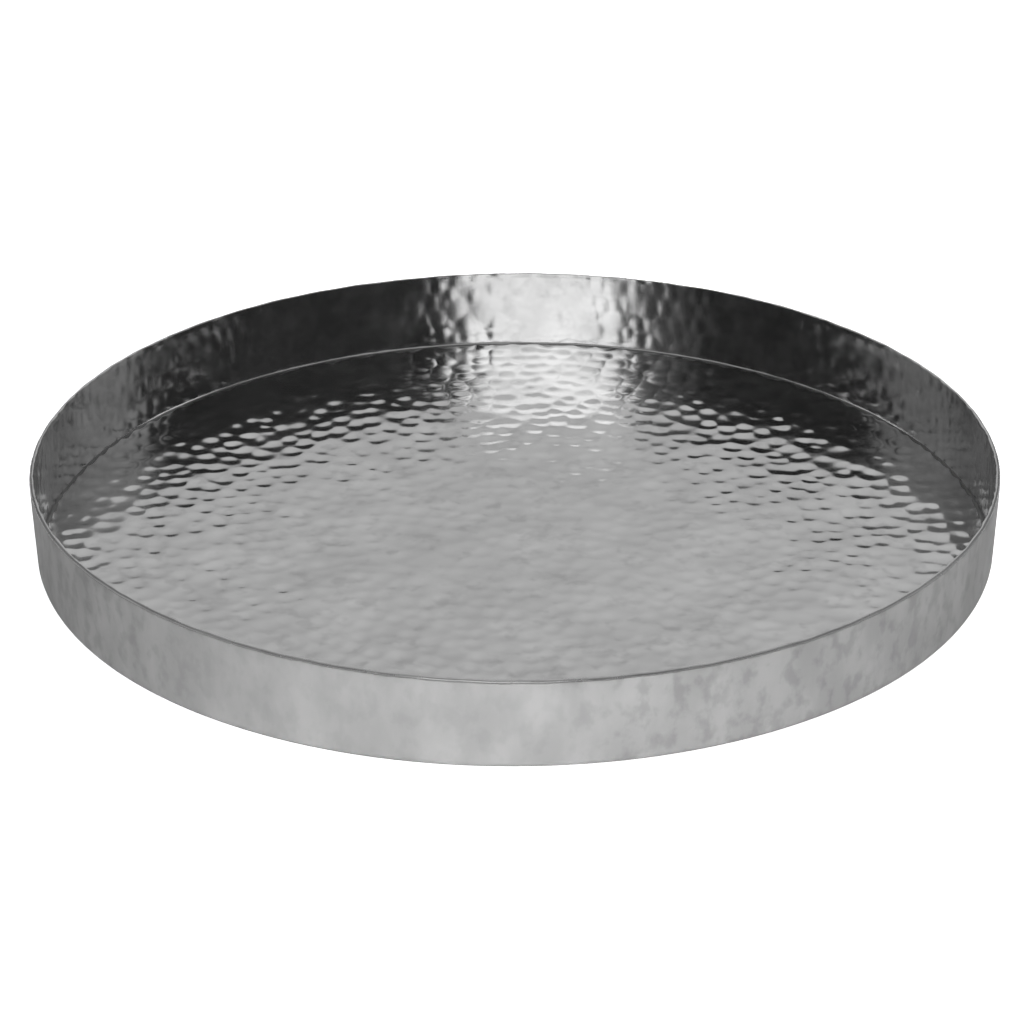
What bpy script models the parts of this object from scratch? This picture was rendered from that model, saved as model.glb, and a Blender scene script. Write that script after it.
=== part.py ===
"""Round serving tray: a sheet floor lying on the turned-in lip of a rolled wall band, welded in place.

Metres, +Z up. The origin is the centre of the plane that the tray stands on.
"""

import math

import bmesh
import bpy

# Driving sizes
RIM_RADIUS = 0.2000  # outside of the wall at the rim
TRAY_HEIGHT = 0.0380  # from the table to the top of the rim
WALL_LEAN = 0.0014  # how far the wall draws in from the rim to its foot
WALL_SHEET = 0.0016  # thickness of the strip that the wall is rolled from
FLOOR_SHEET = 0.0016  # thickness of the floor sheet
FOOT_BEND = 0.0045  # outside radius of the bend from the wall to the lip
LIP_WIDTH = 0.0100  # flat part of the lip, which carries the floor
FLOOR_EDGE_BEVEL = 0.0003  # broken edge of the floor sheet
WELD_RISE = 0.0016  # how far the corner weld climbs the wall above the floor
SEAM_ANGLE = math.radians(192.6)  # where the ends of the wall strip meet, from +X
SEAM_WIDTH = 0.0026  # space between the ends of the wall strip
FIT_GAP = 0.0003  # clearance between neighbouring pieces

# Fineness of the round shapes
TURN_STEPS = 120
RIM_STEPS = 4
BEND_STEPS = 4
WELD_STEPS = 3
MERGE_DISTANCE = 0.00001

# Sizes that follow from the driving sizes
BEND_CENTRE = RIM_RADIUS - WALL_LEAN - FOOT_BEND  # radius at which the lip turns up
INSIDE_BEND = FOOT_BEND - WALL_SHEET
LIP_EDGE = BEND_CENTRE - LIP_WIDTH
FLOOR_UNDERSIDE = WALL_SHEET + FIT_GAP
FLOOR_TOP = FLOOR_UNDERSIDE + FLOOR_SHEET
CUT_MARGIN = WALL_SHEET  # how far a cutter reaches past what it cuts


def clear_scene():
    for thing in list(bpy.data.objects):
        bpy.data.objects.remove(thing, do_unlink=True)


def new_collection(name):
    collection = bpy.data.collections.new(name)
    bpy.context.scene.collection.children.link(collection)
    return collection


def metal(name, grey, roughness):
    material = bpy.data.materials.new(name)
    material.use_nodes = True
    shader = material.node_tree.nodes["Principled BSDF"]
    shader.inputs["Base Color"].default_value = (grey, grey, grey, 1.0)
    shader.inputs["Metallic"].default_value = 1.0
    shader.inputs["Roughness"].default_value = roughness
    return material


def arc(centre, radius, start, end, steps):
    """Points (radius, height) on an arc, with angles in degrees from the outward direction."""
    angles = [math.radians(start + (end - start) * i / steps) for i in range(steps + 1)]
    return [(centre[0] + radius * math.cos(a), centre[1] + radius * math.sin(a)) for a in angles]


def band_profile():
    """Section of the wall: over the rounded rim, down the outside, in along the lip and back up."""
    rim_round = WALL_SHEET / 2
    rim = arc((RIM_RADIUS - rim_round, TRAY_HEIGHT - rim_round), rim_round, 180, 0, RIM_STEPS)
    outside = arc((BEND_CENTRE, FOOT_BEND), FOOT_BEND, 0, -90, BEND_STEPS)
    lip = [(LIP_EDGE, 0.0), (LIP_EDGE, WALL_SHEET)]
    inside = arc((BEND_CENTRE, FOOT_BEND), INSIDE_BEND, -90, 0, BEND_STEPS)
    return rim + outside + lip + inside


def beside_wall(height):
    """Radius at which a piece clears the inside of the wall by the fit gap."""
    reach = INSIDE_BEND - FIT_GAP
    if height < FOOT_BEND:
        return BEND_CENTRE + math.sqrt(max(reach**2 - (FOOT_BEND - height) ** 2, 0.0))
    straight = TRAY_HEIGHT - WALL_SHEET / 2 - FOOT_BEND
    return BEND_CENTRE + reach + WALL_LEAN * (height - FOOT_BEND) / straight


def weld_profile():
    """Section of the corner weld: it fills the groove beside the floor and ends in a hollow fillet."""
    inner = BEND_CENTRE + FIT_GAP
    bottom = FOOT_BEND - math.sqrt((INSIDE_BEND - FIT_GAP) ** 2 - FIT_GAP**2)
    top = FLOOR_TOP + WELD_RISE
    outer = beside_wall(top)
    points = []
    for i in range(WELD_STEPS + 1):
        height = top + (bottom - top) * i / WELD_STEPS
        points.append((beside_wall(height), height))
    for i in range(WELD_STEPS):
        along = i / WELD_STEPS
        radius = outer - (outer - inner) * (1 - along) ** 2
        height = FLOOR_TOP + WELD_RISE * along**2
        points.append((radius, height))
    return points


def turned(name, profile, material, collection):
    """A closed profile turned all the way round the tray's axis."""
    mesh = bpy.data.meshes.new(name)
    count = len(profile)
    edges = [(i, (i + 1) % count) for i in range(count)]
    mesh.from_pydata([(radius, 0.0, height) for radius, height in profile], edges, [])
    piece = bpy.data.objects.new(name, mesh)
    collection.objects.link(piece)
    mesh.materials.append(material)
    screw = piece.modifiers.new("turn", "SCREW")
    screw.axis = "Z"
    screw.angle = math.tau
    screw.steps = TURN_STEPS
    screw.render_steps = TURN_STEPS
    screw.use_merge_vertices = True
    screw.merge_threshold = MERGE_DISTANCE
    screw.use_smooth_shade = True
    return piece


def seam_cutter(name, width, collection):
    """Upright block across the wall and lip at the seam."""
    inner = LIP_EDGE - CUT_MARGIN
    outer = RIM_RADIUS + CUT_MARGIN
    tall = TRAY_HEIGHT + 2 * CUT_MARGIN
    middle = (inner + outer) / 2
    bpy.ops.mesh.primitive_cube_add(size=1.0)
    cutter = bpy.context.object
    cutter.name = name
    cutter.scale = (outer - inner, width, tall)
    cutter.rotation_euler = (0.0, 0.0, SEAM_ANGLE)
    cutter.location = (middle * math.cos(SEAM_ANGLE), middle * math.sin(SEAM_ANGLE), TRAY_HEIGHT / 2)
    cutter.hide_render = True
    cutter.display_type = "WIRE"
    for owner in list(cutter.users_collection):
        owner.objects.unlink(cutter)
    collection.objects.link(cutter)
    return cutter


def cut(piece, cutter, operation):
    boolean = piece.modifiers.new(cutter.name, "BOOLEAN")
    boolean.operation = operation
    boolean.solver = "EXACT"
    boolean.object = cutter


def make_wall_band(parts, cutters):
    band = turned("wall_band", band_profile(), metal("wall_metal", 0.72, 0.25), parts)
    cut(band, seam_cutter("seam_slot", SEAM_WIDTH, cutters), "DIFFERENCE")
    return band


def make_seam_weld(parts, cutters):
    weld = turned("seam_weld", band_profile(), metal("seam_weld_metal", 0.62, 0.35), parts)
    cut(weld, seam_cutter("seam_fill", SEAM_WIDTH - 2 * FIT_GAP, cutters), "INTERSECT")
    return weld


def make_corner_weld(parts):
    return turned("corner_weld", weld_profile(), metal("corner_weld_metal", 0.74, 0.18), parts)


def make_floor_disc(parts):
    mesh = bpy.data.meshes.new("floor_disc")
    shape = bmesh.new()
    bmesh.ops.create_cone(
        shape,
        cap_ends=True,
        segments=TURN_STEPS,
        radius1=BEND_CENTRE,
        radius2=BEND_CENTRE,
        depth=FLOOR_SHEET,
    )
    shape.to_mesh(mesh)
    shape.free()
    disc = bpy.data.objects.new("floor_disc", mesh)
    parts.objects.link(disc)
    disc.location = (0.0, 0.0, FLOOR_UNDERSIDE + FLOOR_SHEET / 2)
    mesh.materials.append(metal("floor_metal", 0.78, 0.12))
    bevel = disc.modifiers.new("broken_edge", "BEVEL")
    bevel.width = FLOOR_EDGE_BEVEL
    bevel.segments = 1
    bevel.limit_method = "ANGLE"
    bevel.angle_limit = math.radians(60)
    return disc


def main():
    clear_scene()
    parts = new_collection("serving_tray")
    cutters = new_collection("cutters")
    tray = bpy.data.objects.new("serving_tray", None)
    parts.objects.link(tray)
    pieces = [
        make_wall_band(parts, cutters),
        make_seam_weld(parts, cutters),
        make_corner_weld(parts),
        make_floor_disc(parts),
    ]
    for piece in pieces:
        piece.parent = tray


main()
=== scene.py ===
"""Looks of the round hammered serving tray: mirror-polished hammer work inside, satin sheet outside.

Metres, +Z up, with the viewer on the -Y side.
"""

import math
import random

import bpy
import numpy as np
from mathutils import Matrix, Vector
from mathutils.kdtree import KDTree


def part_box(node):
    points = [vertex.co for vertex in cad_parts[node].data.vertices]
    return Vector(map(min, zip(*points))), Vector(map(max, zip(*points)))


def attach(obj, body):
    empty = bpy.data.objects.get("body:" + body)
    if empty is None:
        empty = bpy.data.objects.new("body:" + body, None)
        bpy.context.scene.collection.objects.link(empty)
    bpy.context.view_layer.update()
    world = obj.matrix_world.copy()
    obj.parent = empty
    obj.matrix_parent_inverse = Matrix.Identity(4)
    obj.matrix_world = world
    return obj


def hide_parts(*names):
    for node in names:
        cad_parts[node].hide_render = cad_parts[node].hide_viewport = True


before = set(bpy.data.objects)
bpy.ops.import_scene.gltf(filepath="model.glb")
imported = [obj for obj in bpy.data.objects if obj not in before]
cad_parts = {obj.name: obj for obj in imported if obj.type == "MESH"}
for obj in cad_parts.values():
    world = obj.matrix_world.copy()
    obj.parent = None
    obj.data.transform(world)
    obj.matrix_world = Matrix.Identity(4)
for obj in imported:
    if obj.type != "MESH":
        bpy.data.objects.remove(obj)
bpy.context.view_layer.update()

# Sizes that the solids give
RIM_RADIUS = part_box("wall_band")[1].x
RIM_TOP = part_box("wall_band")[1].z
FLOOR_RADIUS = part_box("floor_disc")[1].x
FLOOR_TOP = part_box("floor_disc")[1].z
FLOOR_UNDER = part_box("floor_disc")[0].z
SHEET = FLOOR_TOP - FLOOR_UNDER

# Section of the wall and place of its seam, as in the solids
WALL_LEAN = 0.0014
FOOT_BEND = 0.0045
LIP_WIDTH = 0.0100
BEND_CENTRE = RIM_RADIUS - WALL_LEAN - FOOT_BEND
SEAM_ANGLE = math.radians(192.6)
SEAM_WIDTH = 0.0026
HALF_SEAM = SEAM_WIDTH / 2 / RIM_RADIUS

# Dressed welds, and the floor that reaches under the fillet
SEAM_CROWN = 0.00010
FILLET_RISE = 0.0010
FILLET_BITE = 0.0003
FLOOR_OVERLAP = 0.0019
FLOOR_REACH = FLOOR_RADIUS + FLOOR_OVERLAP

# Rim: rounded, a little higher on one side, and spread inwards by the hammer in short notches
RIM_INNER_ROUND = 0.00025
RIM_OUTER_ROUND = 0.00130
HIGH_SIDE = math.radians(222)
HIGH_REACH = math.radians(68)
HIGH_RISE = 0.0015
RIM_SPREAD = 0.0006
RIM_NOTCH = 0.0035

# Fine waves of the rim and the fillet: how many go round the tray, and their usual height
RIM_WAVES = (3, 5, 11, 17, 29, 43, 61)
RIM_WAVE_HEIGHT = 0.00006
WELD_WAVES = (23, 41, 67, 89, 131)
WELD_WAVE_HEIGHT = 0.00007

# Hammer blows on the floor: round hollows in loose rings, shallower in the middle part of the radius
FLOOR_PITCH = 0.0097
FLOOR_ROW = 0.0089
FLOOR_HOLLOW = 0.0055
FLOOR_DEPTH = 0.00056
FLOOR_STRAY = 0.18
FLOOR_MIDDLE_ENDS = (0.25, 0.65)
FLOOR_MIDDLE_SHARE = 0.62
UNDERSIDE_SHARE = 0.5

# Hammer blows on the wall: upright hollows in rows
WALL_PITCH = 0.0062
WALL_ROW = 0.0086
WALL_HOLLOW = 0.0041
WALL_DEPTH = 0.00020
WALL_STRAY = 0.26
WALL_OUTSIDE_SHARE = 0.25

# How unevenly the blows fall and overlap
BLOW_WIDTH_SPREAD = 0.19
BLOW_WIDTH_LIMITS = (0.94, 1.3)
BLOW_DEPTH_SPREAD = 0.22
BLOW_DEPTH_LIMITS = (0.5, 1.12)
BLOW_CURVE = 1.75
BLOW_OVERLAP = 3.0
BLOWS_NEAR = 7

# Slow unevenness of the hand-worked floor, which dies out at the edge
SAG_LENGTHS = (0.045, 0.110)
SAG_WAVES = 14
SAG_SLOPE = 0.008
SAG_EDGE_POWER = 6

# Seeds of the random spreads
FLOOR_BLOW_SEED = 11
WALL_BLOW_SEED = 23
FLOOR_DEPTH_SEED = 31
SAG_SEED = 37
RIM_WAVE_SEED = 47
WELD_WAVE_SEED = 53
WALL_DEPTH_SEED = 59
RIM_SPREAD_SEED = 61

# Fineness of the meshes
FLOOR_CELLS = 276
WALL_TURNS = 1000
WALL_STEP = 0.00125
OUTSIDE_STEP = 3 * WALL_STEP
INSIDE_BEND_STEPS = 4
OUTSIDE_BEND_STEPS = 8
RIM_INNER_STEPS = 3
RIM_OUTER_STEPS = 6
FADE_STEPS = 2  # over which the hammer work dies out at the outer foot
SATIN_LAP = 2  # steps of the rim's round that the satin covers
FILLET_STEPS = 10
WELD_TURNS = 720
SEAM_TURNS = 8
SHARP_EDGE = math.radians(40)

# Patterns in the metals: features per metre, stretch per axis, and where a pattern starts and ends
PATTERN_ENDS = (0.3, 0.7)
EVEN = (1.0, 1.0, 1.0)
UPRIGHT = (1.0, 1.0, 0.5)
CLOUD_SCALE = 38.0
SMUDGE_SCALE = 120.0
SMUDGE_ENDS = (0.52, 0.74)
SMUDGE_TONES = (1.0, 0.87)
PIT_SCALE = 15.0
PIT_ENDS = (0.016, 0.040)
PIT_TONES = (0.68, 1.0)
POLISH_RUB_SCALE = 85.0
POLISH_WAVE_SCALE = 300.0
POLISH_WAVE_STRETCH = (1.0, 1.0, 0.4)
POLISH_WAVE_HEIGHT = 0.00003
BLOTCH_SCALE = 60.0
STAIN_SCALE = 160.0
STAIN_STRETCH = (1.0, 1.0, 0.75)
STAIN_ENDS = (0.44, 0.66)
# Satin tones: faint stains between the sides; towards the sides in X, deeper stains and painted shade that
# darkens the sheet
CLEAN_PART_TONES = (1.0, 0.93)
PAINTED_SHADE_AND_STAIN_TONES = (0.95, 0.78)
PAINTED_SHADE_AND_STAIN_RIGHT = (0.010, 0.055)
PAINTED_SHADE_AND_STAIN_LEFT = (-0.10, -0.16)
SATIN_RUB_SCALE = 90.0
SATIN_GRAIN_SCALE = 700.0
SATIN_GRAIN_STRETCH = (1.0, 1.0, 0.2)
SATIN_GRAIN_HEIGHT = 0.00001
SATIN_METALLIC = 0.9
SATIN_SLANT_TINT = (0.48, 0.48, 0.48, 1.0)

# Camera, as fitted to the photo, with lens and sensor in millimetres
VIEW_ELEVATION = math.radians(25.69)
VIEW_DISTANCE = 1.5415
VIEW_AIM = Vector((-0.00144, 0.0, 0.01114))
VIEW_ROLL = math.radians(-0.26)
VIEW_LENS = 129.85
VIEW_SENSOR = 36.0

# Studio room: light from the near side (-1) past the sides (0) to the far side (1)
ROOM_LIGHT = (
    (-1.0, 0.018),
    (0.20, 0.018),
    (0.34, 0.15),
    (0.48, 0.19),
    (0.64, 0.165),
    (0.80, 0.14),
    (0.92, 0.11),
    (0.967, 0.43),
    (1.0, 0.445),
)
RISE_SHARES = (0.90, 1.10)
RISE_ENDS = (0.20, 0.70)
SIDE_SHARES = (0.85, 1.15)
SIDE_ENDS = (-0.9, 0.9)
CEILING_LIGHTS = (0.14, 0.37)
CEILING_ENDS = (-0.45, 0.45)
OVERHEAD_ENDS = (0.74, 0.96)

# White card on the near side, dimmer towards its top, and a faint narrow card beside it
CARD_LIGHTS = (1.18, 0.76)
CARD_LIGHT_ENDS = (0.44, 0.66)
CARD_TOP_ENDS = (0.99, 0.86)
CARD_TURN = math.radians(-8)
CARD_HALF = math.radians(15)
CARD_BLUR = math.radians(9)
SIDE_CARD_LIGHT = 0.055
SIDE_CARD_TURN = math.radians(-38)
SIDE_CARD_HALF = math.radians(2)

# Lighter near side of the room, which a first reflection sees
OPEN_LIGHTS = (0.30, 0.12)
OPEN_LIGHT_ENDS = (0.50, 0.72)
OPEN_FAR_ENDS = (0.30, 0.80)
OPEN_CARD_ENDS = (0.52, 0.62)
DEEP_ENDS = (2.2, 2.8)

# Softboxes: one overhead, and small ones that light the studio floor beside the tray, in watts
OVERHEAD_SIZE = (5.0, 5.0)
OVERHEAD_POWER = 22.0
OVERHEAD_PLACE = (0.0, 0.2, 2.5)
OVERHEAD_AIM = (0.0, 0.2, 0.0)
FLOOR_LAMPS = (
    ("front_softbox", 0.0, 0.28),
    ("right_softbox", math.radians(83), 0.08),
    ("rear_softbox", math.radians(180), 0.18),
)
LAMP_SIZE = (0.24, 0.10)
LAMP_REACH = 0.80
LAMP_HEIGHT = 0.55
LAMP_AIM = 0.21
LAMP_SPREAD = math.radians(36)

# Studio floor: plain white to the camera, dimmer in reflections
STAGE_SIZE = 8.0
STAGE_PAPER = (0.9, 0.9, 0.9, 1.0)
STAGE_ROUGHNESS = 0.9
STAGE_GLOSS = 0.1
STAGE_GLOWS = (0.25, 1.00)
WHITE = (1.0, 1.0, 1.0, 1.0)


def hammer_depths(points, centres, hollow, depth, seed):
    """How far the blows sink a sheet, at points on the flat sheet. Each blow is a smooth round hollow."""
    rng = random.Random(seed)
    widths = np.array([1.0 + rng.gauss(0.0, BLOW_WIDTH_SPREAD) for _ in centres])
    depths = np.array([1.0 + rng.gauss(0.0, BLOW_DEPTH_SPREAD) for _ in centres])
    widths = hollow * widths.clip(*BLOW_WIDTH_LIMITS)
    depths = depth * depths.clip(*BLOW_DEPTH_LIMITS)
    tree = KDTree(len(centres))
    for index, centre in enumerate(centres):
        tree.insert((centre[0], centre[1], 0.0), index)
    tree.balance()
    near = np.array([[hit[1] for hit in tree.find_n((x, y, 0.0), BLOWS_NEAR)] for x, y in points])
    away = points[:, None, :] - np.array(centres)[near]
    inside = (1.0 - (away**2).sum(2) / widths[near] ** 2).clip(0.0, None)
    sunk = depths[near] * inside**BLOW_CURVE
    return (sunk**BLOW_OVERLAP).sum(1) ** (1.0 / BLOW_OVERLAP)


def slow_sag(points):
    """Gentle rise and fall of the floor over a few blows' width."""
    rng = random.Random(SAG_SEED)
    rise = np.zeros(len(points))
    for _ in range(SAG_WAVES):
        length = rng.uniform(*SAG_LENGTHS)
        heading = rng.uniform(0.0, math.tau)
        along = points @ np.array([math.cos(heading), math.sin(heading)])
        height = SAG_SLOPE * length / math.tau
        rise += height * np.sin(math.tau * along / length + rng.uniform(0.0, math.tau))
    return rise


def floor_blows():
    """Centres of the blows on the floor, ring by ring from the middle to just past the edge."""
    rng = random.Random(FLOOR_BLOW_SEED)
    centres = []
    for ring in range(math.ceil(FLOOR_RADIUS / FLOOR_ROW) + 2):
        count = max(1, round(math.tau * ring * FLOOR_ROW / FLOOR_PITCH))
        start = rng.random()
        for i in range(count):
            angle = math.tau * (i + start + rng.gauss(0.0, FLOOR_STRAY)) / count
            radius = FLOOR_ROW * (ring + rng.gauss(0.0, FLOOR_STRAY))
            centres.append((radius * math.cos(angle), radius * math.sin(angle)))
    return centres


def wall_blows(squeeze):
    """Centres of the blows along the unrolled wall and just past it, squeezed in height to be round."""
    rng = random.Random(WALL_BLOW_SEED)
    length = math.tau * RIM_RADIUS
    count = round(length / WALL_PITCH)
    centres = []
    for row in range(-1, math.ceil(RIM_TOP / WALL_ROW) + 2):
        for i in range(-2, count + 3):
            along = length / count * (i + row % 2 / 2 + rng.gauss(0.0, WALL_STRAY))
            height = WALL_ROW * (row + rng.gauss(0.0, WALL_STRAY))
            centres.append((along, height * squeeze))
    return centres


def disc_grid(cells):
    """Points of a square grid drawn out to a disc of radius 1, row by row."""
    marks = np.linspace(-1.0, 1.0, cells + 1)
    across, along = np.meshgrid(marks, marks)
    steep = np.abs(along) > np.abs(across)
    reach = np.where(steep, along, across)
    other = np.where(steep, across, along)
    angle = math.pi / 4 * other / np.where(reach == 0.0, 1.0, reach)
    x = reach * np.where(steep, np.sin(angle), np.cos(angle))
    y = reach * np.where(steep, np.cos(angle), np.sin(angle))
    return np.stack([x.ravel(), y.ravel()], 1)


def grid_faces(cells):
    """Faces of such a grid, seen from above."""
    corner = np.arange(cells)[:, None] * (cells + 1) + np.arange(cells)[None, :]
    corner = corner.ravel()
    return np.stack([corner, corner + 1, corner + cells + 2, corner + cells + 1], 1)


def grid_border(cells):
    """Indices round the edge of such a grid, anticlockwise from above."""
    side = cells + 1
    front = list(range(cells))
    right = [row * side + cells for row in range(cells)]
    back = [cells * side + cells - i for i in range(cells)]
    left = [(cells - row) * side for row in range(cells)]
    return front + right + back + left


def edge_faces(first_under):
    """Faces that join the fine edge of the floor's top to the coarse edge of its underside."""
    fine = grid_border(FLOOR_CELLS)
    coarse = [first_under + i for i in grid_border(FLOOR_CELLS // 2)]
    faces = []
    for i, low in enumerate(coarse):
        next_low = coarse[(i + 1) % len(coarse)]
        start, middle, end = (fine[(2 * i + k) % len(fine)] for k in range(3))
        faces += [(low, next_low, middle), (low, middle, start), (next_low, end, middle)]
    return faces


def new_piece(name, points, faces, materials):
    mesh = bpy.data.meshes.new(name)
    mesh.from_pydata(points, [], faces)
    for material in materials:
        mesh.materials.append(material)
    mesh.shade_smooth()
    mesh.set_sharp_from_angle(angle=SHARP_EDGE)
    piece = bpy.data.objects.new(name, mesh)
    bpy.context.scene.collection.objects.link(piece)
    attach(piece, "root")
    return piece


def make_floor(material):
    """The floor sheet, hammered on top, with the blows showing faintly underneath."""
    top = disc_grid(FLOOR_CELLS) * FLOOR_REACH
    outward = np.linalg.norm(top, axis=1) / FLOOR_REACH
    sunk = hammer_depths(top, floor_blows(), FLOOR_HOLLOW, FLOOR_DEPTH, FLOOR_DEPTH_SEED)
    sunk *= np.interp(outward, FLOOR_MIDDLE_ENDS, (FLOOR_MIDDLE_SHARE, 1.0))
    sunk += slow_sag(top) * (1.0 - outward**SAG_EDGE_POWER)
    grid = np.arange(len(top)).reshape(FLOOR_CELLS + 1, FLOOR_CELLS + 1)
    below = grid[::2, ::2].ravel()
    top_points = np.column_stack([top, FLOOR_TOP - sunk])
    narrow = FLOOR_RADIUS / FLOOR_REACH
    under_points = np.column_stack([top[below] * narrow, FLOOR_UNDER - UNDERSIDE_SHARE * sunk[below]])
    points = np.concatenate([top_points, under_points]).tolist()
    faces = grid_faces(FLOOR_CELLS).tolist()
    faces += (grid_faces(FLOOR_CELLS // 2)[:, ::-1] + len(top)).tolist()
    faces += edge_faces(len(top))
    piece = new_piece("hammered_floor", points, faces, [material])
    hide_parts("floor_disc")


def arc(centre, radius, start, end, steps):
    """Points (radius, height) on an arc, with angles in degrees from the outward direction."""
    angles = [math.radians(start + (end - start) * i / steps) for i in range(steps + 1)]
    return [(centre[0] + radius * math.cos(a), centre[1] + radius * math.sin(a)) for a in angles]


def line(start, end, step):
    """Points along a straight run, without its two ends."""
    count = max(1, round(math.dist(start, end) / step))
    return [tuple(a + (b - a) * i / count for a, b in zip(start, end)) for i in range(1, count)]


def rim_section():
    """Section of the rim, from the inside over a tight and a wide round to the outside."""
    inner = (RIM_RADIUS - SHEET + RIM_INNER_ROUND, RIM_TOP - RIM_INNER_ROUND)
    outer = (RIM_RADIUS - RIM_OUTER_ROUND, RIM_TOP - RIM_OUTER_ROUND)
    rim = arc(inner, RIM_INNER_ROUND, 180, 90, RIM_INNER_STEPS)
    return rim + arc(outer, RIM_OUTER_ROUND, 90, 0, RIM_OUTER_STEPS)


def wall_section():
    """Section of the wall as points, up the inside, over the rim and down the outside to the lip.

    It also gives how far the hammer work moves each point, and where the rim and the outside begin.
    """
    rim = rim_section()
    inside = arc((BEND_CENTRE, FOOT_BEND), FOOT_BEND - SHEET, -90, 0, INSIDE_BEND_STEPS)
    outside = arc((BEND_CENTRE, FOOT_BEND), FOOT_BEND, 0, -90, OUTSIDE_BEND_STEPS)
    lip = BEND_CENTRE - LIP_WIDTH
    hammered = line(inside[-1], rim[0], WALL_STEP)
    smooth = line(rim[-1], outside[0], OUTSIDE_STEP)
    points = inside + hammered + rim + smooth + outside + [(lip, 0.0), (lip, SHEET)]
    wall_foot = len(inside) - 1
    rim_start = len(inside) + len(hammered)
    outer_start = rim_start + len(rim) - 1
    outer_foot = outer_start + len(smooth) + FADE_STEPS
    faded = outer_foot + FADE_STEPS
    stops = (0, wall_foot, wall_foot + 1, rim_start, outer_start, outer_foot, faded, len(points))
    shares = (0.0, 0.0, 1.0, 1.0, WALL_OUTSIDE_SHARE, WALL_OUTSIDE_SHARE, 0.0, 0.0)
    moved = np.interp(np.arange(len(points)), stops, shares)
    return np.array(points), moved, (rim_start, outer_start - SATIN_LAP)


def small_waves(angles, counts, height, seed):
    """Fine rise and fall round the tray, as hand work leaves it."""
    rng = random.Random(seed)
    wave = np.zeros_like(angles)
    for count in counts:
        wave += rng.gauss(0.0, height) * np.sin(count * angles + rng.random() * math.tau)
    return wave


def wall_heights(section, angles):
    """Heights of the wall's section at each angle, with the rim's unevenness dying out downwards."""
    wave = small_waves(angles, RIM_WAVES, RIM_WAVE_HEIGHT, RIM_WAVE_SEED)
    from_high = np.abs((angles - HIGH_SIDE + math.pi) % math.tau - math.pi)
    wave += HIGH_RISE * np.cos(np.minimum(from_high / HIGH_REACH, 1.0) * math.pi / 2) ** 2
    rise = section[:, 1] / RIM_TOP
    return section[:, 1] + rise**2 * wave[:, None]


def rim_spread(angles):
    """How far the hammer has spread the rim's edge inwards, in short notches round the tray."""
    rng = random.Random(RIM_SPREAD_SEED)
    count = round(math.tau * RIM_RADIUS / RIM_NOTCH)
    spread = [RIM_SPREAD * rng.random() for _ in range(count)]
    return np.interp(angles % math.tau, np.arange(count) * math.tau / count, spread, period=math.tau)


def swept(angles, radii, heights, ring=False):
    """Points and faces of a section swept through angles, as a whole ring or with closed ends."""
    turns, count = radii.shape
    x = radii * np.cos(angles)[:, None]
    y = radii * np.sin(angles)[:, None]
    points = np.stack([x, y, heights], 2).reshape(-1, 3).tolist()
    faces = []
    for i in range(turns if ring else turns - 1):
        here = i * count
        later = (i + 1) % turns * count
        for k in range(count):
            after = (k + 1) % count
            faces.append((here + k, here + after, later + after, later + k))
    if not ring:
        faces.append(tuple(range(count))[::-1])
        faces.append(tuple((turns - 1) * count + k for k in range(count)))
    return points, faces


def finish_bands(piece, borders, count, turns):
    """Gives a swept wall its three finishes: inside, rim and outside, with the outside's on its ends."""
    slots = np.searchsorted(borders, np.arange(count), side="right")
    ends = [len(borders)] * 2
    piece.data.polygons.foreach_set("material_index", np.concatenate([np.tile(slots, turns), ends]))


def make_wall(inside, rim, outside):
    """The rolled wall: upright hammer marks inside that show faintly outside, and a wavy rim."""
    section, moved, borders = wall_section()
    angles = np.linspace(HALF_SEAM, math.tau - HALF_SEAM, WALL_TURNS + 1)
    squeeze = WALL_PITCH / WALL_ROW
    along = np.repeat(angles * RIM_RADIUS, len(section))
    height = np.tile(section[:, 1], len(angles))
    flat = np.column_stack([along, height * squeeze])
    sunk = hammer_depths(flat, wall_blows(squeeze), WALL_HOLLOW, WALL_DEPTH, WALL_DEPTH_SEED)
    radii = section[:, 0] + moved * sunk.reshape(len(angles), -1)
    radii[:, borders[0] : borders[0] + RIM_INNER_STEPS] -= rim_spread(angles)[:, None]
    turned = angles + SEAM_ANGLE
    points, faces = swept(turned, radii, wall_heights(section, turned))
    piece = new_piece("hammered_wall", points, faces, [inside, rim, outside])
    finish_bands(piece, borders, len(section), WALL_TURNS)
    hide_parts("wall_band")


def make_seam(inside, rim, outside):
    """Weld metal that closes the wall's ends, dressed almost flush."""
    section, _, borders = wall_section()
    angles = np.linspace(-HALF_SEAM, HALF_SEAM, SEAM_TURNS + 1)
    crown = SEAM_CROWN * (1 - (angles / HALF_SEAM) ** 2)
    proud = np.where(np.arange(len(section)) >= borders[1], 1.0, -1.0)
    proud[section[:, 1] < FOOT_BEND] = 0.0
    radii = section[:, 0] + proud * crown[:, None]
    turned = angles + SEAM_ANGLE
    points, faces = swept(turned, radii, wall_heights(section, turned))
    piece = new_piece("dressed_seam", points, faces, [inside, rim, outside])
    finish_bands(piece, borders, len(section), SEAM_TURNS)
    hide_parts("seam_weld")


def fillet_section():
    """Section of the corner fillet, with its hollow face from floor to wall first, then its buried back."""
    inner = FLOOR_REACH - FILLET_BITE
    outer = BEND_CENTRE + FOOT_BEND - SHEET + FILLET_BITE
    face = []
    for i in range(FILLET_STEPS + 1):
        share = i / FILLET_STEPS
        radius = outer - (outer - inner) * (1 - share) ** 2
        face.append((radius, FLOOR_TOP - FILLET_BITE / 2 + FILLET_RISE * share**2))
    wall_side = (outer, FOOT_BEND - SHEET)
    groove = (BEND_CENTRE + FILLET_BITE, FLOOR_UNDER + FILLET_BITE)
    floor_side = (inner, FLOOR_TOP - SHEET / 2)
    return np.array(face + [wall_side, groove, floor_side])


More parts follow.
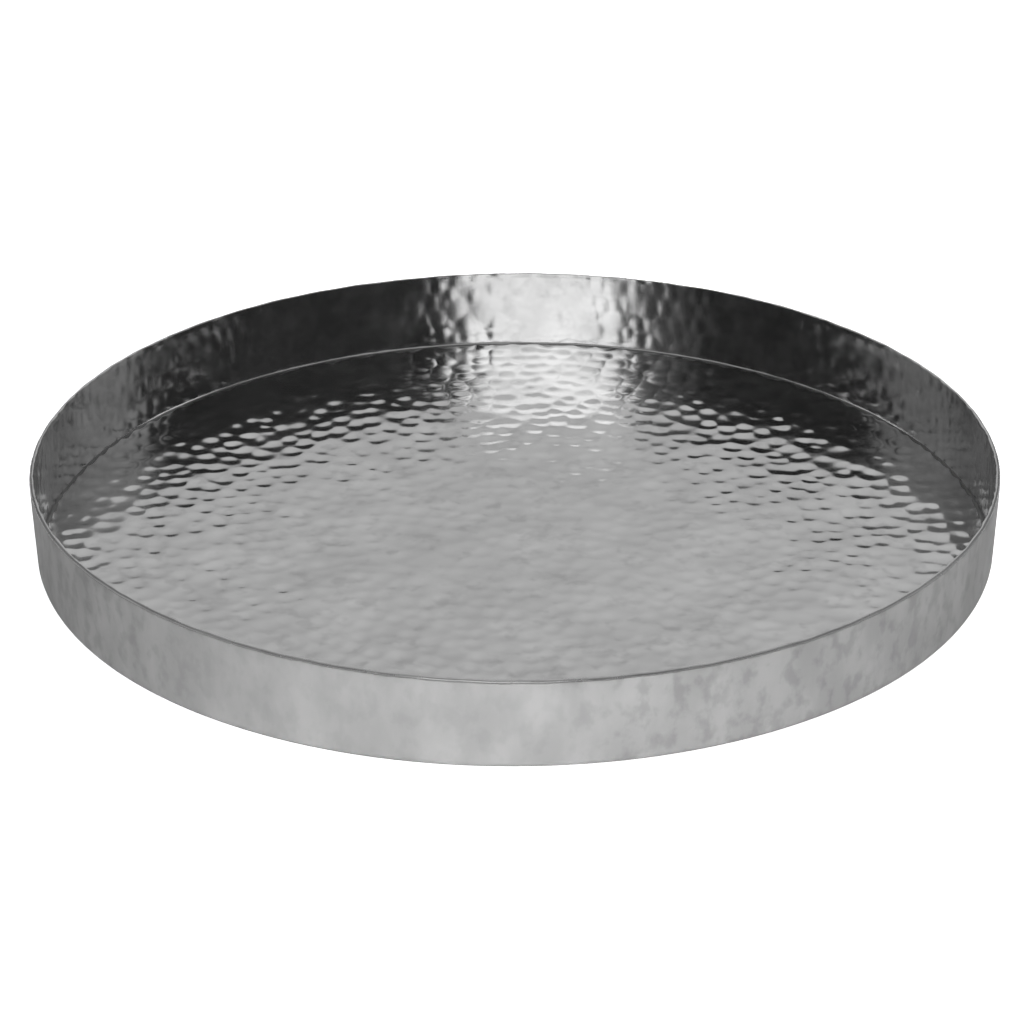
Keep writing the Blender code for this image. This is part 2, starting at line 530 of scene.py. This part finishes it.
def make_corner(material):
    """Weld metal between floor and wall, dressed to a small hollow fillet with an uneven top edge."""
    section = fillet_section()
    angles = np.linspace(0.0, math.tau, WELD_TURNS, endpoint=False)
    wave = small_waves(angles, WELD_WAVES, WELD_WAVE_HEIGHT, WELD_WAVE_SEED)
    lift = np.zeros(len(section))
    lift[: FILLET_STEPS + 1] = np.linspace(0.0, 1.0, FILLET_STEPS + 1)
    radii = np.repeat(section[None, :, 0], WELD_TURNS, 0)
    heights = section[:, 1] + lift * wave[:, None]
    points, faces = swept(angles, radii, heights, ring=True)
    piece = new_piece("corner_fillet", points, faces, [material])
    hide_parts("corner_weld")


def new_material(name):
    material = bpy.data.materials.new(name)
    material.use_nodes = True
    return material, material.node_tree.nodes, material.node_tree.links


def noise_node(nodes, links, scale, detail, stretch=EVEN):
    """Noise in the object's own metres, stretched along an axis by a smaller factor there."""
    place = nodes.new("ShaderNodeTexCoord")
    mapping = nodes.new("ShaderNodeMapping")
    mapping.inputs["Scale"].default_value = stretch
    noise = nodes.new("ShaderNodeTexNoise")
    noise.inputs["Scale"].default_value = scale
    noise.inputs["Detail"].default_value = detail
    links.new(place.outputs["Object"], mapping.inputs["Vector"])
    links.new(mapping.outputs["Vector"], noise.inputs["Vector"])
    return noise.outputs["Fac"]


def spot_node(nodes, links, scale):
    """Distance to the nearest of some scattered spots, in the object's own metres times the scale."""
    place = nodes.new("ShaderNodeTexCoord")
    spots = nodes.new("ShaderNodeTexVoronoi")
    spots.inputs["Scale"].default_value = scale
    links.new(place.outputs["Object"], spots.inputs["Vector"])
    return spots.outputs["Distance"]


def ranged(nodes, links, value, results, ends=PATTERN_ENDS):
    """A value between two ends, spread softly over the two results."""
    spread = nodes.new("ShaderNodeMapRange")
    spread.interpolation_type = "SMOOTHSTEP"
    spread.inputs["From Min"].default_value = ends[0]
    spread.inputs["From Max"].default_value = ends[1]
    spread.inputs["To Min"].default_value = results[0]
    spread.inputs["To Max"].default_value = results[1]
    links.new(value, spread.inputs["Value"])
    return spread.outputs["Result"]


def smooth_step(nodes, links, value, ends):
    return ranged(nodes, links, value, (0.0, 1.0), ends)


def math_node(nodes, links, operation, first, second):
    node = nodes.new("ShaderNodeMath")
    node.operation = operation
    links.new(first, node.inputs[0])
    if isinstance(second, (int, float)):
        node.inputs[1].default_value = second
    else:
        links.new(second, node.inputs[1])
    return node.outputs[0]


def mixed(nodes, links, share, first, second):
    """A value that goes from first to second; either may be a number or a node's value."""
    mix = nodes.new("ShaderNodeMix")
    mix.data_type = "FLOAT"
    links.new(share, mix.inputs["Factor"])
    for socket, value in (("A", first), ("B", second)):
        if isinstance(value, (int, float)):
            mix.inputs[socket].default_value = value
        else:
            links.new(value, mix.inputs[socket])
    return mix.outputs["Result"]


def parted(nodes, links, vector):
    """The X, Y and Z parts of a vector."""
    parts = nodes.new("ShaderNodeSeparateXYZ")
    links.new(vector, parts.inputs["Vector"])
    return parts.outputs


def grey(nodes, links, value):
    colour = nodes.new("ShaderNodeCombineColor")
    for channel in ("Red", "Green", "Blue"):
        links.new(value, colour.inputs[channel])
    return colour.outputs["Color"]


def bumped(nodes, links, value, height, shader):
    bump = nodes.new("ShaderNodeBump")
    bump.inputs["Strength"].default_value = 1.0
    bump.inputs["Distance"].default_value = height
    links.new(value, bump.inputs["Height"])
    links.new(bump.outputs["Normal"], shader.inputs["Normal"])


def polished_metal(name, tones, roughness):
    """Polished sheet with faint clouding, smudges, a few pits and fine waviness."""
    material, nodes, links = new_material(name)
    shader = nodes["Principled BSDF"]
    shader.inputs["Metallic"].default_value = 1.0
    clouds = ranged(nodes, links, noise_node(nodes, links, CLOUD_SCALE, detail=4.0), tones)
    smudges = noise_node(nodes, links, SMUDGE_SCALE, detail=2.0)
    smudges = ranged(nodes, links, smudges, SMUDGE_TONES, SMUDGE_ENDS)
    pits = ranged(nodes, links, spot_node(nodes, links, PIT_SCALE), PIT_TONES, PIT_ENDS)
    tone = math_node(nodes, links, "MULTIPLY", clouds, smudges)
    tone = math_node(nodes, links, "MULTIPLY", tone, pits)
    links.new(grey(nodes, links, tone), shader.inputs["Base Color"])
    rubs = noise_node(nodes, links, POLISH_RUB_SCALE, detail=5.0)
    links.new(ranged(nodes, links, rubs, roughness), shader.inputs["Roughness"])
    waves = noise_node(nodes, links, POLISH_WAVE_SCALE, detail=3.0, stretch=POLISH_WAVE_STRETCH)
    bumped(nodes, links, waves, POLISH_WAVE_HEIGHT, shader)
    return material


def stain_and_painted_shade_tone(nodes, links):
    """Share of its tone that the satin sheet keeps: stained deeper towards its sides, which painted shade
    also darkens; almost clean between.
    """
    stains = noise_node(nodes, links, STAIN_SCALE, detail=4.0, stretch=STAIN_STRETCH)
    stains = smooth_step(nodes, links, stains, STAIN_ENDS)
    place = nodes.new("ShaderNodeTexCoord")
    across = parted(nodes, links, place.outputs["Object"])["X"]
    # Sides of the sheet in X, where painted shade darkens the tone and the stains run deeper
    right = smooth_step(nodes, links, across, PAINTED_SHADE_AND_STAIN_RIGHT)
    left = smooth_step(nodes, links, across, PAINTED_SHADE_AND_STAIN_LEFT)
    painted_shade_and_stain_sides = math_node(nodes, links, "ADD", left, right)
    clean_part = mixed(nodes, links, stains, *CLEAN_PART_TONES)
    shaded_stained_part = mixed(nodes, links, stains, *PAINTED_SHADE_AND_STAIN_TONES)
    return mixed(nodes, links, painted_shade_and_stain_sides, clean_part, shaded_stained_part)


def satin_metal(name, tones, roughness):
    """Satin sheet with soft upright blotches and, towards its sides, stains and painted shade. It stays dim
    at a slant.
    """
    material, nodes, links = new_material(name)
    shader = nodes["Principled BSDF"]
    shader.inputs["Metallic"].default_value = SATIN_METALLIC
    shader.inputs["Specular Tint"].default_value = SATIN_SLANT_TINT
    blotches = noise_node(nodes, links, BLOTCH_SCALE, detail=5.0, stretch=UPRIGHT)
    blotches = ranged(nodes, links, blotches, tones)
    tone = math_node(nodes, links, "MULTIPLY", blotches, stain_and_painted_shade_tone(nodes, links))
    links.new(grey(nodes, links, tone), shader.inputs["Base Color"])
    rubs = noise_node(nodes, links, SATIN_RUB_SCALE, detail=5.0, stretch=UPRIGHT)
    links.new(ranged(nodes, links, rubs, roughness), shader.inputs["Roughness"])
    grain = noise_node(nodes, links, SATIN_GRAIN_SCALE, detail=3.0, stretch=SATIN_GRAIN_STRETCH)
    bumped(nodes, links, grain, SATIN_GRAIN_HEIGHT, shader)
    return material


def make_camera():
    data = bpy.data.cameras.new("photo_view")
    data.lens = VIEW_LENS
    data.sensor_width = VIEW_SENSOR
    camera = bpy.data.objects.new("photo_view", data)
    bpy.context.scene.collection.objects.link(camera)
    back = Vector((0.0, -math.cos(VIEW_ELEVATION), math.sin(VIEW_ELEVATION)))
    turn = (-back).to_track_quat("-Z", "Y").to_matrix().to_4x4()
    place = Matrix.Translation(VIEW_AIM + VIEW_DISTANCE * back)
    camera.matrix_world = place @ turn @ Matrix.Rotation(VIEW_ROLL, 4, "Z")
    bpy.context.scene.camera = camera


def make_stage():
    """A plain pale floor, wide enough to fill the view."""
    bpy.ops.mesh.primitive_plane_add(size=STAGE_SIZE)
    floor = bpy.context.object
    floor.name = "studio_floor"
    material, nodes, links = new_material("studio_floor_paper")
    shader = nodes["Principled BSDF"]
    shader.inputs["Base Color"].default_value = STAGE_PAPER
    shader.inputs["Roughness"].default_value = STAGE_ROUGHNESS
    shader.inputs["Specular IOR Level"].default_value = STAGE_GLOSS
    shader.inputs["Emission Color"].default_value = WHITE
    path = nodes.new("ShaderNodeLightPath")
    glow = ranged(nodes, links, path.outputs["Is Camera Ray"], STAGE_GLOWS, (0.0, 1.0))
    links.new(glow, shader.inputs["Emission Strength"])
    floor.data.materials.append(material)


def softbox(name, size, power, location, aim, spread=math.pi):
    """A soft lamp that is not itself seen or mirrored."""
    data = bpy.data.lights.new(name, "AREA")
    data.shape = "RECTANGLE"
    data.size, data.size_y = size
    data.energy = power
    data.spread = spread
    light = bpy.data.objects.new(name, data)
    light.location = location
    light.rotation_euler = (Vector(aim) - Vector(location)).to_track_quat("-Z", "Y").to_euler()
    light.visible_camera = False
    light.visible_glossy = False
    bpy.context.scene.collection.objects.link(light)


def make_lights():
    softbox("overhead_softbox", OVERHEAD_SIZE, OVERHEAD_POWER, OVERHEAD_PLACE, OVERHEAD_AIM)
    for name, turn, power in FLOOR_LAMPS:
        toward = Vector((math.sin(turn), -math.cos(turn), 0.0))
        place = LAMP_REACH * toward + Vector((0.0, 0.0, LAMP_HEIGHT))
        softbox(name, LAMP_SIZE, power, place, LAMP_AIM * toward, LAMP_SPREAD)


def level_heading(nodes, links, direction):
    """The level part of a direction, brought to length 1."""
    level = nodes.new("ShaderNodeVectorMath")
    level.operation = "MULTIPLY"
    level.inputs[1].default_value = (1.0, 1.0, 0.0)
    links.new(direction, level.inputs[0])
    heading = nodes.new("ShaderNodeVectorMath")
    heading.operation = "NORMALIZE"
    links.new(level.outputs["Vector"], heading.inputs[0])
    return heading.outputs["Vector"]


def wall_light(nodes, links, away):
    """Light of the room's walls, by how far a heading points away from the viewer."""
    curve = nodes.new("ShaderNodeFloatCurve")
    points = curve.mapping.curves[0].points
    points[0].location = (0.0, ROOM_LIGHT[0][1])
    points[1].location = (1.0, ROOM_LIGHT[-1][1])
    for far, light in ROOM_LIGHT[1:-1]:
        points.new((far + 1) / 2, light)
    for point in points:
        point.handle_type = "AUTO_CLAMPED"
    curve.mapping.update()
    halved = math_node(nodes, links, "MULTIPLY", away, 0.5)
    links.new(math_node(nodes, links, "ADD", halved, 0.5), curve.inputs["Value"])
    return curve.outputs["Value"]


def card_share(nodes, links, heading, turn, half):
    """Share of an upright card seen along a heading; the turn is from the near side towards +X."""
    toward = nodes.new("ShaderNodeVectorMath")
    toward.operation = "DOT_PRODUCT"
    toward.inputs[1].default_value = (math.sin(turn), -math.cos(turn), 0.0)
    links.new(heading, toward.inputs[0])
    return smooth_step(nodes, links, toward.outputs["Value"], (math.cos(half + CARD_BLUR), math.cos(half)))


def room_light(nodes, links, ray_depth):
    """Light by direction: grey far side, dark near side with a white card, and a dim ceiling.

    A first reflection sees a lighter near side, so that the polish looks like metal from all round.
    """
    direction = nodes.new("ShaderNodeTexCoord").outputs["Generated"]
    parts = parted(nodes, links, direction)
    up = parts["Z"]
    heading = level_heading(nodes, links, direction)
    compass = parted(nodes, links, heading)
    away = compass["Y"]

    rising = ranged(nodes, links, up, RISE_SHARES, RISE_ENDS)
    rightward = ranged(nodes, links, compass["X"], SIDE_SHARES, SIDE_ENDS)
    room = math_node(nodes, links, "MULTIPLY", wall_light(nodes, links, away), rising)
    room = math_node(nodes, links, "MULTIPLY", room, rightward)
    open_light = ranged(nodes, links, up, OPEN_LIGHTS, OPEN_LIGHT_ENDS)
    open_room = mixed(nodes, links, smooth_step(nodes, links, away, OPEN_FAR_ENDS), open_light, room)

    ceiling = ranged(nodes, links, parts["Y"], CEILING_LIGHTS, CEILING_ENDS)
    overhead = smooth_step(nodes, links, up, OVERHEAD_ENDS)
    room = mixed(nodes, links, overhead, room, ceiling)
    open_room = mixed(nodes, links, overhead, open_room, ceiling)

    side_card = card_share(nodes, links, heading, SIDE_CARD_TURN, SIDE_CARD_HALF)
    room = mixed(nodes, links, side_card, room, SIDE_CARD_LIGHT)
    card = card_share(nodes, links, heading, CARD_TURN, CARD_HALF)
    card = math_node(nodes, links, "MULTIPLY", card, smooth_step(nodes, links, up, CARD_TOP_ENDS))
    card_light = ranged(nodes, links, up, CARD_LIGHTS, CARD_LIGHT_ENDS)
    room = mixed(nodes, links, card, room, card_light)
    open_card = math_node(nodes, links, "MULTIPLY", card, smooth_step(nodes, links, up, OPEN_CARD_ENDS))
    open_room = mixed(nodes, links, open_card, open_room, card_light)
    return mixed(nodes, links, smooth_step(nodes, links, ray_depth, DEEP_ENDS), open_room, room)


def make_room():
    """The studio that the tray mirrors. The camera itself sees plain white beyond the stage."""
    world = bpy.data.worlds.new("studio")
    bpy.context.scene.world = world
    world.use_nodes = True
    nodes = world.node_tree.nodes
    links = world.node_tree.links
    path = nodes.new("ShaderNodeLightPath")
    mirrored = nodes["Background"]
    light = room_light(nodes, links, path.outputs["Ray Depth"])
    links.new(grey(nodes, links, light), mirrored.inputs["Color"])
    plain = nodes.new("ShaderNodeBackground")
    plain.inputs["Color"].default_value = WHITE
    mix = nodes.new("ShaderNodeMixShader")
    links.new(path.outputs["Is Camera Ray"], mix.inputs["Fac"])
    links.new(mirrored.outputs["Background"], mix.inputs[1])
    links.new(plain.outputs["Background"], mix.inputs[2])
    links.new(mix.outputs["Shader"], nodes["World Output"].inputs["Surface"])


def main():
    bpy.context.scene.view_settings.view_transform = "Standard"
    floor = polished_metal("polished_floor", tones=(0.79, 0.90), roughness=(0.11, 0.18))
    wall_inside = polished_metal("polished_wall", tones=(0.77, 0.89), roughness=(0.12, 0.20))
    wall_outside = satin_metal("satin_outside", tones=(0.395, 0.48), roughness=(0.32, 0.38))
    rim = polished_metal("burnished_rim", tones=(0.78, 0.90), roughness=(0.20, 0.30))
    seam = satin_metal("dressed_seam", tones=(0.32, 0.40), roughness=(0.40, 0.48))
    weld = polished_metal("dressed_weld", tones=(0.38, 0.46), roughness=(0.38, 0.48))
    make_floor(floor)
    make_wall(wall_inside, rim, wall_outside)
    make_seam(weld, rim, seam)
    make_corner(weld)
    make_camera()
    make_stage()
    make_lights()
    make_room()


main()
